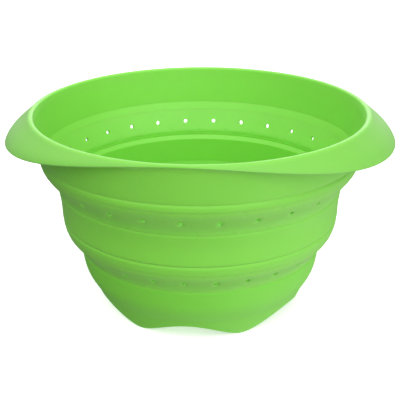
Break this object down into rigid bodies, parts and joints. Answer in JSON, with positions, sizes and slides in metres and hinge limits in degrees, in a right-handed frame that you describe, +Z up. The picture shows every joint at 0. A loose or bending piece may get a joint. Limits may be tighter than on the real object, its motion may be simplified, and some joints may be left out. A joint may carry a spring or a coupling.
{
  "type": "folding silicone colander",
  "caption": "Round folding silicone colander with a turned-down brim widening into side handles, stepped tiers joined by pierced folding webs, and a wavy footed base.",
  "frame": {"origin": "centre of the plane that the feet stand on, on the bowl's axis", "axes": "+Z up along the bowl's axis; the two handles point along -X and +X; -Y is the front, where an arch of the foot skirt and a hole of each row are centred"},
  "size_m": [0.258, 0.226, 0.136],
  "materials": {
    "silicone_base": "lime green moulded silicone, satin",
    "silicone_web": "lime green moulded silicone, thin, satin",
    "silicone_tier": "lime green moulded silicone, satin",
    "silicone_rim": "lime green moulded silicone, satin"
  },
  "bodies": {
    "base": {"foot_skirt": "silicone_base", "drain_floor": "silicone_base", "cup_wall": "silicone_base", "lower_drain_web": "silicone_web"},
    "middle": {"lower_hinge_lip": "silicone_tier", "middle_band": "silicone_tier", "upper_drain_web": "silicone_web"},
    "rim": {"upper_hinge_lip": "silicone_tier", "upper_band": "silicone_tier", "rim_bead": "silicone_rim", "front_brim": "silicone_rim", "right_handle": "silicone_rim", "rear_brim": "silicone_rim", "left_handle": "silicone_rim"}
  },
  "joints": [
    {"name": "lower_fold", "type": "slide", "parent": "base", "child": "middle", "axis": [0, 0, 1], "range_m": [-0.0324, 0], "deforming": ["lower_drain_web"]},
    {"name": "upper_fold", "type": "slide", "parent": "middle", "child": "rim", "axis": [0, 0, 1], "range_m": [-0.0372, 0], "deforming": ["upper_drain_web"]}
  ]
}
